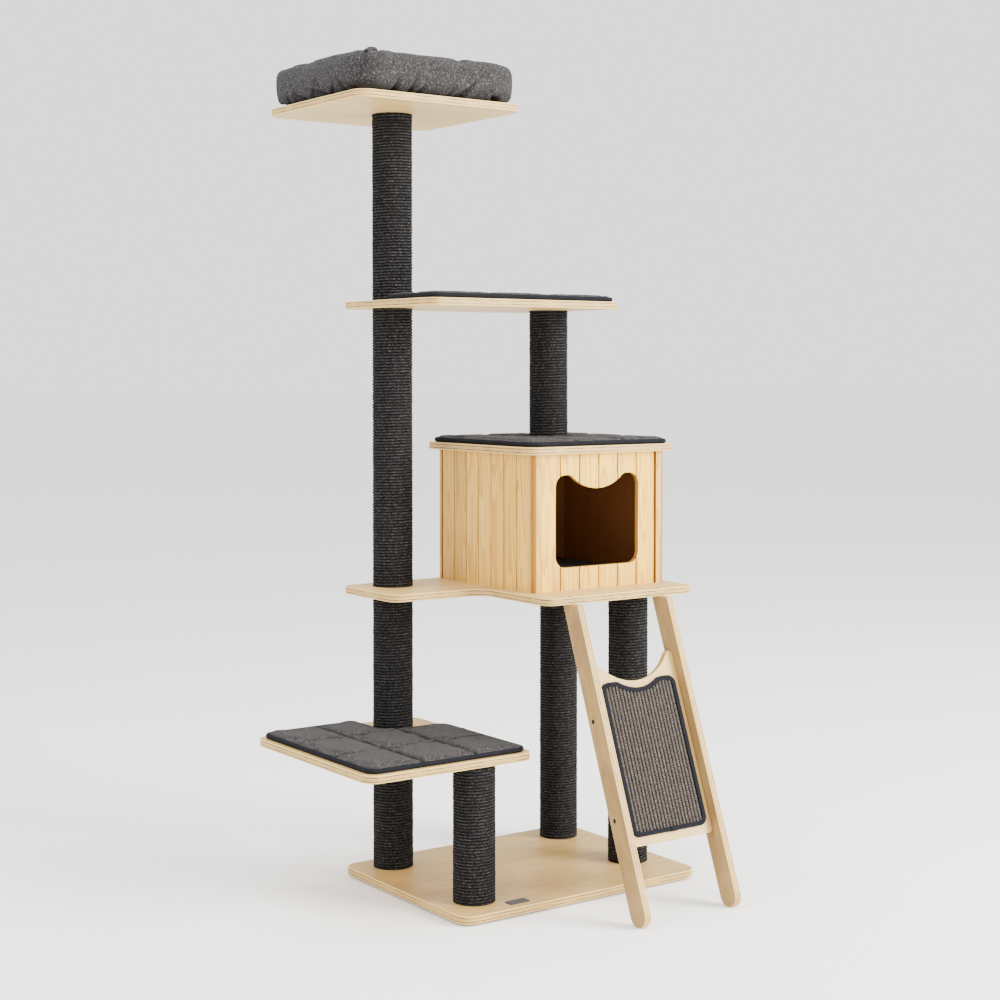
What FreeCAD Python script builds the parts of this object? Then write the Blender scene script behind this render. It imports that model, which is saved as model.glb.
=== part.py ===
import FreeCAD, Part
import os
import re
import Sketcher
from FreeCAD import Placement, Rotation, Vector

# Cat tree, in millimetres.  +Z is up, X runs along the front edge of the base, Y runs to the back.
# The origin is on the floor, under the centre of the base board.

doc = FreeCAD.newDocument("CatTree")

# ---------------------------------------------------------------------------------------------
# Driving dimensions
# ---------------------------------------------------------------------------------------------
DIMENSIONS = {
    # plywood boards
    "ply": 15, "board_corner": 30, "inner_corner": 40, "edge_round": 1.5,
    "base_width": 580, "base_depth": 446,
    "step_left": -477, "step_right": -100, "step_front": -189, "step_back": 250,
    "middle_left": -291, "middle_right": 304, "middle_front": -197, "middle_back": 228,
    "bite_right": -79, "bite_back": 22,
    "roof_left": -70, "roof_right": 311, "roof_front": -130, "roof_back": 252,
    "shelf_left": -268, "shelf_right": 210, "shelf_front": -77, "shelf_back": 265,
    "top_left": -396, "top_right": -11, "top_front": -28, "top_back": 342,
    # heights of the upper faces above the floor
    "base_level": 20, "step_level": 303, "middle_level": 598,
    "roof_level": 888, "shelf_level": 1181, "top_level": 1575,
    # posts
    "tall_x": -204.5, "tall_y": 162.5, "step_x": -209, "step_y": -137,
    "back_x": 218, "back_y": 155, "front_x": 216, "front_y": -85, "upper_x": 148, "upper_y": 100,
    "post_radius": 41.5, "rope": 6, "tube_wall": 4, "plug_thick": 20,
    # bolts, studs and feet
    "bolt_radius": 4, "head_radius": 8, "head_height": 4.5,
    "foot_height": 5, "foot_radius": 20, "foot_inset": 38,
    "plate_x": -147, "plate_y": -193, "plate_width": 45, "plate_depth": 22, "plate_thick": 1.5,
    "plate_corner": 3,
    # house
    "house_left": -51, "house_right": 289, "house_front": -114, "house_back": 226,
    "post_wide": 22, "post_deep": 14, "post_round": 9,
    "slat_thick": 10, "slat_gap": 0.4, "slat_groove": 1.6, "front_recess": 5, "side_recess": 2,
    "door_x": 115.5, "door_sill": 45.5, "door_half": 107, "door_rise": 186.5, "door_dip": 29,
    "door_arc": 95, "door_corner": 24, "door_ear": 15, "door_tool": 40,
    # ladder
    "rail_left": -23, "rail_gap": 212, "rail_wide": 45, "rail_thick": 15, "rail_long": 640,
    "rail_top": 583, "foot_y": -403.9, "ladder_lean": 20.2,
    "panel_low": 123, "panel_rise": 363, "panel_dip": 50.5, "panel_arc": 112,
    "panel_corner": 8, "panel_ear": 5,
    "mat_low": 139.5, "mat_rise": 297.5, "mat_half": 92.7, "mat_dip": 16.3, "mat_arc": 92,
    "mat_corner": 18, "mat_ear": 20, "mat_thick": 5, "binding_wide": 8.5, "binding_thick": 6,
    "screw_low": 178, "screw_high": 368, "screw_radius": 3, "screw_long": 45,
    "screw_head": 4.5, "screw_head_long": 3.5,
    "hanger_y": -187, "hanger_radius": 2.5, "hanger_long": 48,
    # soft parts
    "pad_thick": 13, "pad_inset": 9, "pad_corner": 26, "pad_clear": 3.5,
    "house_pad_thick": 30, "house_pad_gap": 4, "house_pad_corner": 20,
    "bed_bulge": 8, "bed_rise": 80, "bed_corner": 68, "bolster_wide": 101, "bolster_round": 30,
    "bolster_tuck": 20, "mattress_thick": 32, "mattress_gap": 1,
}

sheet = doc.addObject("Spreadsheet::Sheet", "Sizes")
for row, (alias, amount) in enumerate(DIMENSIONS.items(), start=1):
    sheet.set(f"A{row}", alias)
    sheet.set(f"B{row}", str(amount))
    sheet.setAlias(f"B{row}", alias)
doc.recompute()

NAME = re.compile(r"[a-z]\w*")
TERM = re.compile(r"([+-]?)\s*([\w.]+)(?:\s*/\s*(\d+))?")


def formula(text):
    """The expression that FreeCAD binds, such as Sizes.ply + Sizes.foot_height."""
    return NAME.sub(lambda match: "Sizes." + match.group(), text)


def number(text):
    """The present value of a sum of cells and plain numbers, each with an optional divisor."""
    total = 0.0
    for sign, name, divisor in TERM.findall(text):
        amount = float(getattr(sheet, name)) if NAME.match(name) else float(name)
        if divisor:
            amount /= float(divisor)
        total += -amount if sign == "-" else amount
    return total


def minus(text):
    """The same sum with every sign turned, for writing a difference of two sums."""
    flipped = text.replace("-", "#").replace("+", "-").replace("#", "+")
    return " - " + flipped


def bind(feature, prop, text):
    setattr(feature, prop, number(text))
    feature.setExpression(prop, formula(text))


def place(feature, x="0", y="0", z="0", turn=None):
    """Put a feature at x, y, z, with an optional rotation, and bind the position to the sheet."""
    feature.Placement = Placement(Vector(number(x), number(y), number(z)), turn or Rotation())
    for axis, text in (("x", x), ("y", y), ("z", z)):
        feature.setExpression("Placement.Base." + axis, formula(text))
    return feature


# ---------------------------------------------------------------------------------------------
# Sketches and PartDesign bodies
# ---------------------------------------------------------------------------------------------
def new_body(name):
    body = doc.addObject("PartDesign::Body", name)
    body.Label = name
    return body


def new_sketch(body, name, role="XY_Plane"):
    sketch = body.newObject("Sketcher::SketchObject", name)
    plane = [item for item in body.Origin.OriginFeatures if item.Role == role][0]
    sketch.AttachmentSupport = [(plane, "")]
    sketch.MapMode = "FlatFace"
    return sketch


def fix_point(sketch, index, vertex, x, y):
    """Tie one vertex of a sketch element to the sheet, measured from the sketch's origin."""
    for kind, text in (("DistanceX", x), ("DistanceY", y)):
        label = f"{kind}_{index}_{vertex}"
        order = sketch.addConstraint(Sketcher.Constraint(kind, -1, 1, index, vertex, number(text)))
        sketch.renameConstraint(order, label)
        sketch.setExpression("Constraints." + label, formula(text))


def draw_polygon(sketch, corners):
    """A closed outline of straight lines through the corners, each an (x, y) pair of texts."""
    first = sketch.GeometryCount
    points = [Vector(number(x), number(y), 0) for x, y in corners]
    count = len(points)
    for index in range(count):
        sketch.addGeometry(Part.LineSegment(points[index], points[(index + 1) % count]), False)
    for index in range(count):
        following = first + (index + 1) % count
        sketch.addConstraint(Sketcher.Constraint("Coincident", first + index, 2, following, 1))
    for index, (x, y) in enumerate(corners):
        fix_point(sketch, first + index, 1, x, y)


def draw_circle(sketch, x, y, radius):
    index = sketch.GeometryCount
    centre = Vector(number(x), number(y), 0)
    sketch.addGeometry(Part.Circle(centre, Vector(0, 0, 1), number(radius)), False)
    fix_point(sketch, index, 3, x, y)
    order = sketch.addConstraint(Sketcher.Constraint("Radius", index, number(radius)))
    sketch.renameConstraint(order, f"Radius_{index}")
    sketch.setExpression(f"Constraints.Radius_{index}", formula(radius))


def add_pad(body, sketch, length):
    pad = body.newObject("PartDesign::Pad", sketch.Name + "_pad")
    pad.Profile = sketch
    bind(pad, "Length", length)
    sketch.Visibility = False
    doc.recompute()
    return pad


def add_pocket_through(body, sketch):
    """Cut a sketch right through the body, both ways, and make sure that it cuts."""
    before = body.Shape.Volume
    pocket = body.newObject("PartDesign::Pocket", sketch.Name + "_pocket")
    pocket.Profile = sketch
    pocket.Type = 1
    pocket.Midplane = True
    sketch.Visibility = False
    doc.recompute()
    assert body.Shape.Volume < before - 1, sketch.Name
    return pocket


def add_fillet(body, name, edges, radius):
    base = body.Tip
    fillet = body.newObject("PartDesign::Fillet", name)
    fillet.Base = (base, edges)
    bind(fillet, "Radius", radius)
    doc.recompute()
    return fillet


def upright_edges(body, spots):
    """Names of the edges along local Z that stand at the given (x, y) spots."""
    names = []
    for index, edge in enumerate(body.Shape.Edges, start=1):
        low, high = edge.BoundBox.ZMin, edge.BoundBox.ZMax
        flat = edge.BoundBox.XLength + edge.BoundBox.YLength
        if high - low < 0.5 or flat > 0.01:
            continue
        centre = edge.BoundBox.Center
        if any(abs(centre.x - x) + abs(centre.y - y) < 0.1 for x, y in spots):
            names.append(f"Edge{index}")
    assert len(names) == len(spots), (body.Label, names)
    return names


def rim_edges(body, upper_only=False):
    """Names of the edges that lie flat in the highest face, and in the lowest unless told."""
    box = body.Shape.BoundBox
    names = []
    for index, edge in enumerate(body.Shape.Edges, start=1):
        if edge.BoundBox.ZLength > 0.01:
            continue
        level = edge.BoundBox.ZMin
        at_top = abs(level - box.ZMax) < 0.01
        at_bottom = abs(level - box.ZMin) < 0.01
        if at_top or (at_bottom and not upper_only):
            names.append(f"Edge{index}")
    return names


def corner_spots(corners):
    return [(number(x), number(y)) for x, y in corners]


def rectangle(left, right, front, back):
    return [(left, front), (right, front), (right, back), (left, back)]


def sheet_of(name, corners, thickness, radius, hollow=(), hollow_radius="inner_corner",
             soften="edge_round", upper_only=False):
    """A flat piece with rounded corners and softened rims; hollow lists its concave corners."""
    body = new_body(name)
    sketch = new_sketch(body, name + "_outline")
    draw_polygon(sketch, corners)
    add_pad(body, sketch, thickness)
    outer = [corner for corner in corners if corner not in hollow]
    add_fillet(body, name + "_corners", upright_edges(body, corner_spots(outer)), radius)
    if hollow:
        add_fillet(body, name + "_hollow", upright_edges(body, corner_spots(hollow)), hollow_radius)
    if soften:
        add_fillet(body, name + "_rim", rim_edges(body, upper_only), soften)
    return body


def eared_sheet(name, half, rise, thickness, dip, arc, corner, ear, soften=None):
    """A flat piece whose upper edge is a hollow arc between two rounded ears, like a cat's head."""
    left, right = "0" + minus(half), half
    outline = [(left, "0"), (right, "0"), (right, rise), (left, rise)]
    body = new_body(name)
    sketch = new_sketch(body, name + "_outline")
    draw_polygon(sketch, outline)
    add_pad(body, sketch, thickness)
    arc_sketch = new_sketch(body, name + "_arc")
    draw_circle(arc_sketch, "0", f"{rise} - {dip} + {arc}", arc)
    add_pocket_through(body, arc_sketch)
    add_fillet(body, name + "_corners", upright_edges(body, corner_spots(outline)), corner)
    depth, radius = number(dip), number(arc)
    reach = (2 * radius * depth - depth * depth) ** 0.5
    tips = [(-reach, number(rise)), (reach, number(rise))]
    add_fillet(body, name + "_ears", upright_edges(body, tips), ear)
    if soften:
        add_fillet(body, name + "_rim", rim_edges(body), soften)
    return body


# ---------------------------------------------------------------------------------------------
# Part primitives
# ---------------------------------------------------------------------------------------------
def cylinder(name, radius, height, x="0", y="0", z="0", turn=None):
    piece = doc.addObject("Part::Cylinder", name)
    bind(piece, "Radius", radius)
    bind(piece, "Height", height)
    return place(piece, x, y, z, turn)


def block(name, length, width, height, x="0", y="0", z="0"):
    piece = doc.addObject("Part::Box", name)
    bind(piece, "Length", length)
    bind(piece, "Width", width)
    bind(piece, "Height", height)
    return place(piece, x, y, z)


def less(name, base, tool):
    piece = doc.addObject("Part::Cut", name)
    piece.Base = base
    piece.Tool = tool
    piece.Label = name
    return piece


def joined(name, first, second):
    piece = doc.addObject("Part::Fuse", name)
    piece.Base = first
    piece.Tool = second
    return piece


def group(name, pieces):
    whole = doc.addObject("Part::Compound", name)
    whole.Links = pieces
    whole.Label = name
    return whole


nodes = []


def keep(feature, name):
    """Give a finished sub-part its node name."""
    feature.Label = name
    nodes.append((name, feature))
    return feature


# ---------------------------------------------------------------------------------------------
# Posts: a card tube wrapped in rope, with a wooden plug in each end
# ---------------------------------------------------------------------------------------------
POSTS = (
    ("tall_1", "tall_x", "tall_y", "base_level", "step_level - ply"),
    ("tall_2", "tall_x", "tall_y", "step_level", "middle_level - ply"),
    ("tall_3", "tall_x", "tall_y", "middle_level", "shelf_level - ply"),
    ("tall_4", "tall_x", "tall_y", "shelf_level", "top_level - ply"),
    ("step", "step_x", "step_y", "base_level", "step_level - ply"),
    ("back", "back_x", "back_y", "base_level", "middle_level - ply"),
    ("front", "front_x", "front_y", "base_level", "middle_level - ply"),
    ("upper", "upper_x", "upper_y", "roof_level", "shelf_level - ply"),
)


def ring(name, outer, inner, height, x, y, z):
    shell = cylinder(name + "_outer", outer, height)
    bore = cylinder(name + "_bore", inner, height)
    return place(less(name, shell, bore), x, y, z)


plugs = []
for name, x, y, low, high in POSTS:
    length = high + minus(low)
    keep(ring("rope_" + name, "post_radius", "post_radius - rope", length, x, y, low), "rope_" + name)
    inner = "post_radius - rope - tube_wall"
    keep(ring("tube_" + name, "post_radius - rope", inner, length, x, y, low), "tube_" + name)
    for end, level in (("low", low), ("high", high + " - plug_thick")):
        plugs.append(ring(f"plug_{name}_{end}", inner, "bolt_radius", "plug_thick", x, y, level))
keep(group("post_plugs", plugs), "post_plugs")

# Studs join two post sections through a board.  A bolt with a sunk head ends a run of posts.
studs = []
for name, level in (("step", "step_level"), ("middle", "middle_level"), ("shelf", "shelf_level")):
    studs.append(cylinder("stud_" + name, "bolt_radius", "ply + plug_thick + plug_thick",
                          "tall_x", "tall_y", level + " - ply - plug_thick"))
keep(group("post_studs", studs), "post_studs")

BOLTS_UP = (("tall", "base_level"), ("step", "base_level"), ("back", "base_level"),
            ("front", "base_level"), ("upper", "roof_level"))
BOLTS_DOWN = (("tall", "top_level"), ("step", "step_level"), ("back", "middle_level"),
              ("front", "middle_level"), ("upper", "shelf_level"))
bolts = []
for direction, rows in (("up", BOLTS_UP), ("down", BOLTS_DOWN)):
    for name, level in rows:
        x, y = name + "_x", name + "_y"
        shank_foot = level + (" - ply" if direction == "up" else " - ply - plug_thick")
        head_foot = level + (" - ply" if direction == "up" else " - head_height")
        shank = cylinder(f"shank_{direction}_{name}", "bolt_radius", "ply + plug_thick", x, y, shank_foot)
        head = cylinder(f"head_{direction}_{name}", "head_radius", "head_height", x, y, head_foot)
        bolts.append(joined(f"bolt_{direction}_{name}", shank, head))
keep(group("post_bolts", bolts), "post_bolts")
fixings = group("board_fixings", bolts + studs)

# ---------------------------------------------------------------------------------------------
# Plywood boards, drilled for the bolts and studs
# ---------------------------------------------------------------------------------------------
hanger_screws = []
for name, x in (("left", "rail_left + rail_thick / 2"),
                ("right", "rail_left + rail_thick + rail_gap + rail_thick / 2")):
    shaft = cylinder("hanger_shaft_" + name, "hanger_radius", "hanger_long", x, "hanger_y",
                     "middle_level - hanger_long")
    head = cylinder("hanger_head_" + name, "screw_head", "screw_head_long", x, "hanger_y",
                    "middle_level - screw_head_long")
    hanger_screws.append(joined("hanger_" + name, shaft, head))
hangers = keep(group("ladder_top_screws", hanger_screws), "ladder_top_screws")

base = sheet_of("base_blank", rectangle("0 - base_width / 2", "base_width / 2",
                                        "0 - base_depth / 2", "base_depth / 2"), "ply", "board_corner")
place(base, z="base_level - ply")
keep(less("base_board", base, fixings), "base_board")

step = sheet_of("step_blank", rectangle("step_left", "step_right", "step_front", "step_back"),
                "ply", "board_corner")
place(step, z="step_level - ply")
keep(less("step_platform", step, fixings), "step_platform")

bite = ("bite_right", "bite_back")
middle = sheet_of("middle_blank",
                  [("middle_left", "bite_back"), bite, ("bite_right", "middle_front"),
                   ("middle_right", "middle_front"), ("middle_right", "middle_back"),
                   ("middle_left", "middle_back")], "ply", "board_corner", hollow=[bite])
place(middle, z="middle_level - ply")
drilled = less("middle_drilled", middle, fixings)
keep(less("middle_platform", drilled, hangers), "middle_platform")

roof = sheet_of("roof_blank", rectangle("roof_left", "roof_right", "roof_front", "roof_back"),
                "ply", "board_corner")
place(roof, z="roof_level - ply")
keep(less("house_roof", roof, fixings), "house_roof")

shelf = sheet_of("shelf_blank", rectangle("shelf_left", "shelf_right", "shelf_front", "shelf_back"),
                 "ply", "board_corner")
place(shelf, z="shelf_level - ply")
keep(less("upper_shelf", shelf, fixings), "upper_shelf")

top = sheet_of("top_blank", rectangle("top_left", "top_right", "top_front", "top_back"),
               "ply", "board_corner")
place(top, z="top_level - ply")
keep(less("top_platform", top, fixings), "top_platform")

# Anti-slip feet: one near each corner of the base and one under its centre.
left_foot, right_foot = "0 - base_width / 2 + foot_inset", "base_width / 2 - foot_inset"
front_foot, back_foot = "0 - base_depth / 2 + foot_inset", "base_depth / 2 - foot_inset"
feet = []
for name, x, y in (("centre", "0", "0"),
                   ("front_left", left_foot, front_foot), ("front_right", right_foot, front_foot),
                   ("back_left", left_foot, back_foot), ("back_right", right_foot, back_foot)):
    feet.append(cylinder("foot_" + name, "foot_radius", "foot_height", x, y))
keep(group("base_feet", feet), "base_feet")

plate = sheet_of("name_plate", rectangle("0 - plate_width / 2", "plate_width / 2",
                                         "0 - plate_depth / 2", "plate_depth / 2"),
                 "plate_thick", "plate_corner", soften=None)
keep(place(plate, "plate_x", "plate_y", "base_level"), "name_plate")

# ---------------------------------------------------------------------------------------------
# House: corner posts and four walls of grooved slats
# ---------------------------------------------------------------------------------------------
wall_height = "roof_level - ply - middle_level"

for name, x, y, mirror_x, mirror_y in (("front_left", "house_left", "house_front", 1, 1),
                                       ("front_right", "house_right", "house_front", -1, 1),
                                       ("back_left", "house_left", "house_back", 1, -1),
                                       ("back_right", "house_right", "house_back", -1, -1)):
    x_far = x + (" + " if mirror_x > 0 else " - ") + "post_wide"
    y_far = y + (" + " if mirror_y > 0 else " - ") + "post_deep"
    post = new_body("house_post_" + name)
    outline = new_sketch(post, f"house_post_{name}_outline")
    draw_polygon(outline, [(x, y), (x_far, y), (x_far, y_far), (x, y_far)])
    add_pad(post, outline, wall_height)
    add_fillet(post, f"house_post_{name}_round", upright_edges(post, corner_spots([(x, y)])), "post_round")
    keep(place(post, z="middle_level"), "house_post_" + name)


def slat_wall(name, count, span):
    """Upright slats side by side along local X, with a groove at each joint on the outer face.

    The outer face looks along local -Y, and span is the wall's length as a text."""
    pitch = f"{span}_pitch"
    body = new_body(name)
    outline = new_sketch(body, name + "_outline")
    left, right = "slat_gap / 2", f"{pitch} - slat_gap / 2"
    draw_polygon(outline, [(left, "slat_groove"), (left + " + slat_groove", "0"),
                           (right + " - slat_groove", "0"), (right, "slat_groove"),
                           (right, "slat_thick"), (left, "slat_thick")])
    pad = add_pad(body, outline, wall_height)
    pattern = body.newObject("PartDesign::LinearPattern", name + "_row")
    pattern.Originals = [pad]
    pattern.Direction = (outline, ["H_Axis"])
    pattern.Occurrences = count
    pattern.Length = number(pitch) * (count - 1)
    pattern.setExpression("Length", f"Sizes.{pitch} * {count - 1}")
    body.Tip = pattern
    doc.recompute()
    assert len(body.Shape.Solids) == count, name
    return body


# The pitches follow from the room between the corner posts.
FRONT_SLATS, SIDE_SLATS = 6, 7
for alias, count, room in (
        ("front_pitch", FRONT_SLATS, "house_right - house_left - post_wide - post_wide"),
        ("side_pitch", SIDE_SLATS, "house_back - house_front - post_deep - post_deep")):
    row += 1
    sheet.set(f"A{row}", alias)
    sheet.set(f"B{row}", str(round(number(room) / count, 4)))
    sheet.setAlias(f"B{row}", alias)
doc.recompute()

front = place(slat_wall("front_blank", FRONT_SLATS, "front"),
              "house_left + post_wide", "house_front + front_recess", "middle_level")
door = eared_sheet("door_tool", "door_half", "door_rise", "door_tool", "door_dip", "door_arc",
                   "door_corner", "door_ear")
place(door, "door_x", "house_front + door_tool / 2", "middle_level + door_sill",
      Rotation(Vector(1, 0, 0), 90))
keep(less("house_front_slats", front, door), "house_front_slats")

back = slat_wall("house_back_slats", FRONT_SLATS, "front")
keep(place(back, "house_right - post_wide", "house_back - front_recess", "middle_level",
           Rotation(Vector(0, 0, 1), 180)), "house_back_slats")

left_wall = slat_wall("house_left_slats", SIDE_SLATS, "side")
keep(place(left_wall, "house_left + side_recess", "house_back - post_deep", "middle_level",
           Rotation(Vector(0, 0, 1), -90)), "house_left_slats")

right_wall = slat_wall("house_right_slats", SIDE_SLATS, "side")
keep(place(right_wall, "house_right - side_recess", "house_front + post_deep", "middle_level",
           Rotation(Vector(0, 0, 1), 90)), "house_right_slats")

# ---------------------------------------------------------------------------------------------
# Ladder: everything is built upright in the ladder's own frame, then leaned back.
# Local Y climbs along the rails, local Z faces the front, and the origin is the foot's centre.
# ---------------------------------------------------------------------------------------------
lean = Rotation(Vector(1, 0, 0), 90 - number("ladder_lean"))
foot_z = "rail_wide / 2"


def on_ladder(feature, x, along="0", out="0"):
    """Place a feature in the ladder's frame: along the rails, and out of the panel's face."""
    offset = lean.multVec(Vector(0, number(along), number(out)))
    feature.Placement = Placement(Vector(number(x), number("foot_y") + offset.y,
                                         number(foot_z) + offset.z), lean)
    climb, outward = "sin(Sizes.ladder_lean * 1deg)", "cos(Sizes.ladder_lean * 1deg)"
    along_text, out_text = f"({formula(along)})", f"({formula(out)})"
    feature.setExpression("Placement.Base.x", formula(x))
    feature.setExpression("Placement.Base.y",
                          f"Sizes.foot_y + {along_text} * {climb} - {out_text} * {outward}")
    feature.setExpression("Placement.Base.z",
                          f"{formula(foot_z)} + {along_text} * {outward} + {out_text} * {climb}")
    return feature


panel_x = "rail_left + rail_thick + rail_gap / 2"
screws = []
for side, x, turn in (("left", "rail_left", 90),
                      ("right", "rail_left + rail_thick + rail_gap + rail_thick", -90)):
    for name in ("screw_low", "screw_high"):
        shaft = cylinder(f"{name}_{side}_shaft", "screw_radius", "screw_long")
        head = cylinder(f"{name}_{side}_head", "screw_head", "screw_head_long")
        screw = joined(f"{name}_{side}", shaft, head)
        on_ladder(screw, x, name, "0 - ply / 2")
        inward = Rotation(Vector(0, 1, 0), turn)
        screw.Placement = Placement(screw.Placement.Base, inward)
        screws.append(screw)
ladder_screws = keep(group("ladder_side_screws", screws), "ladder_side_screws")

above = block("above_ladder", "rail_gap + rail_gap", "rail_gap + rail_gap", "rail_gap",
              "rail_left - rail_gap / 2", "middle_front - rail_gap / 2", "rail_top")
for name, x in (("left", "rail_left"), ("right", "rail_left + rail_thick + rail_gap")):
    rail = new_body(f"rail_{name}_blank")
    outline = new_sketch(rail, f"rail_{name}_outline", "YZ_Plane")
    half, low = "rail_wide / 2", "0 - rail_wide / 2"
    draw_polygon(outline, [("0", low), ("rail_long", low), ("rail_long", half), ("0", half)])
    add_pad(rail, outline, "rail_thick")
    toe_sketch = new_sketch(rail, f"rail_{name}_toe", "YZ_Plane")
    draw_circle(toe_sketch, "0", "0", half)
    add_pad(rail, toe_sketch, "rail_thick")
    long_rims = [f"Edge{index}" for index, edge in enumerate(rail.Shape.Edges, start=1)
                 if edge.BoundBox.XLength < 0.01]
    add_fillet(rail, f"rail_{name}_rim", long_rims, "edge_round")
    on_ladder(rail, x)
    squared = less(f"rail_{name}_squared", rail, above)
    bored = less(f"rail_{name}_bored", squared, ladder_screws)
    keep(less(f"ladder_{name}_rail", bored, hangers), f"ladder_{name}_rail")

panel = eared_sheet("panel_blank", "rail_gap / 2", "panel_rise", "ply", "panel_dip", "panel_arc",
                    "panel_corner", "panel_ear", soften="edge_round")
on_ladder(panel, panel_x, "panel_low", "0 - ply")
keep(less("ladder_panel", panel, ladder_screws), "ladder_panel")

mat = eared_sheet("scratching_mat", "mat_half - binding_wide",
                  "mat_rise - binding_wide - binding_wide", "mat_thick", "mat_dip",
                  "mat_arc + binding_wide", "mat_corner - binding_wide", "mat_ear - binding_wide")
keep(on_ladder(mat, panel_x, "mat_low + binding_wide"), "scratching_mat")

binding = eared_sheet("binding_blank", "mat_half", "mat_rise", "binding_thick", "mat_dip", "mat_arc",
                      "mat_corner", "mat_ear")
on_ladder(binding, panel_x, "mat_low")
core = eared_sheet("binding_core", "mat_half - binding_wide",
                   "mat_rise - binding_wide - binding_wide", "binding_thick", "mat_dip",
                   "mat_arc + binding_wide", "mat_corner - binding_wide", "mat_ear - binding_wide")
on_ladder(core, panel_x, "mat_low + binding_wide")
keep(less("mat_binding", binding, core), "mat_binding")

# ---------------------------------------------------------------------------------------------
# Soft parts, as plain closed solids
# ---------------------------------------------------------------------------------------------
post_room = "post_radius + pad_clear"
step_pad_corner = ("tall_x" + minus(post_room), "tall_y" + minus(post_room))
step_pad = sheet_of("step_pad",
                    [("step_left + pad_inset", "step_front + pad_inset"),
                     ("step_right - pad_inset", "step_front + pad_inset"),
                     ("step_right - pad_inset", step_pad_corner[1]),
                     step_pad_corner,
                     (step_pad_corner[0], "step_back - pad_inset"),
                     ("step_left + pad_inset", "step_back - pad_inset")],
                    "pad_thick", "pad_corner", hollow=[step_pad_corner],
                    hollow_radius=post_room, soften="edge_round")
keep(place(step_pad, z="step_level"), "step_pad")

shelf_pad_corner = ("tall_x + " + post_room, "tall_y" + minus(post_room))
shelf_pad = sheet_of("shelf_pad",
                     [("shelf_left + pad_inset", "shelf_front + pad_inset"),
                      ("shelf_right - pad_inset", "shelf_front + pad_inset"),
                      ("shelf_right - pad_inset", "shelf_back - pad_inset"),
                      (shelf_pad_corner[0], "shelf_back - pad_inset"),
                      shelf_pad_corner,
                      ("shelf_left + pad_inset", shelf_pad_corner[1])],
                     "pad_thick", "pad_corner", hollow=[shelf_pad_corner],
                     hollow_radius=post_room, soften="edge_round")
keep(place(shelf_pad, z="shelf_level"), "shelf_pad")

roof_pad = sheet_of("roof_pad_blank",
                    rectangle("roof_left + pad_inset", "roof_right - pad_inset",
                              "roof_front + pad_inset", "roof_back - pad_inset"),
                    "pad_thick", "pad_corner")
place(roof_pad, z="roof_level")
roof_hole = cylinder("roof_pad_hole", post_room, "pad_thick", "upper_x", "upper_y", "roof_level")
keep(less("roof_pad", roof_pad, roof_hole), "roof_pad")

house_pad = sheet_of("house_pad",
                     rectangle("house_left + side_recess + slat_thick + house_pad_gap",
                               "house_right - side_recess - slat_thick - house_pad_gap",
                               "house_front + front_recess + slat_thick + house_pad_gap",
                               "house_back - front_recess - slat_thick - house_pad_gap"),
                     "house_pad_thick", "house_pad_corner", soften="mat_corner / 2", upper_only=True)
keep(place(house_pad, z="middle_level"), "house_pad")

bed_outline = rectangle("top_left - bed_bulge", "top_right + bed_bulge",
                        "top_front - bed_bulge", "top_back + bed_bulge")
bed = sheet_of("bed_blank", bed_outline, "bed_rise", "bed_corner", soften="bolster_round",
               upper_only=True)
lower_rim = [edge for edge in rim_edges(bed) if edge not in rim_edges(bed, upper_only=True)]
add_fillet(bed, "bed_blank_tuck", lower_rim, "bolster_tuck")
place(bed, z="top_level")
well_outline = rectangle("top_left - bed_bulge + bolster_wide", "top_right + bed_bulge - bolster_wide",
                         "top_front - bed_bulge + bolster_wide", "top_back + bed_bulge - bolster_wide")
well = sheet_of("bed_well", well_outline, "bed_rise", "pad_corner", soften=None)
place(well, z="top_level")
keep(less("bed_bolster", bed, well), "bed_bolster")

mattress_outline = rectangle("top_left - bed_bulge + bolster_wide + mattress_gap",
                             "top_right + bed_bulge - bolster_wide - mattress_gap",
                             "top_front - bed_bulge + bolster_wide + mattress_gap",
                             "top_back + bed_bulge - bolster_wide - mattress_gap")
mattress = sheet_of("bed_mattress", mattress_outline, "mattress_thick", "pad_corner",
                    soften="pad_inset", upper_only=True)
keep(place(mattress, z="top_level"), "bed_mattress")

# ---------------------------------------------------------------------------------------------
# Check and export
# ---------------------------------------------------------------------------------------------
doc.recompute()
for item in doc.Objects:
    assert "Invalid" not in item.State and "Error" not in item.State, (item.Name, item.State)
os.makedirs("parts", exist_ok=True)
for name, feature in nodes:
    shape = feature.Shape
    assert not shape.isNull() and shape.isValid() and shape.Solids, name
    shape.exportStep(f"parts/{name}.step")
    print(name, len(shape.Solids), round(shape.Volume / 1000.0, 1))
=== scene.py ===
import math
import random

import bmesh
import bpy
import numpy as np
from mathutils import Matrix, Vector, noise


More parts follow.
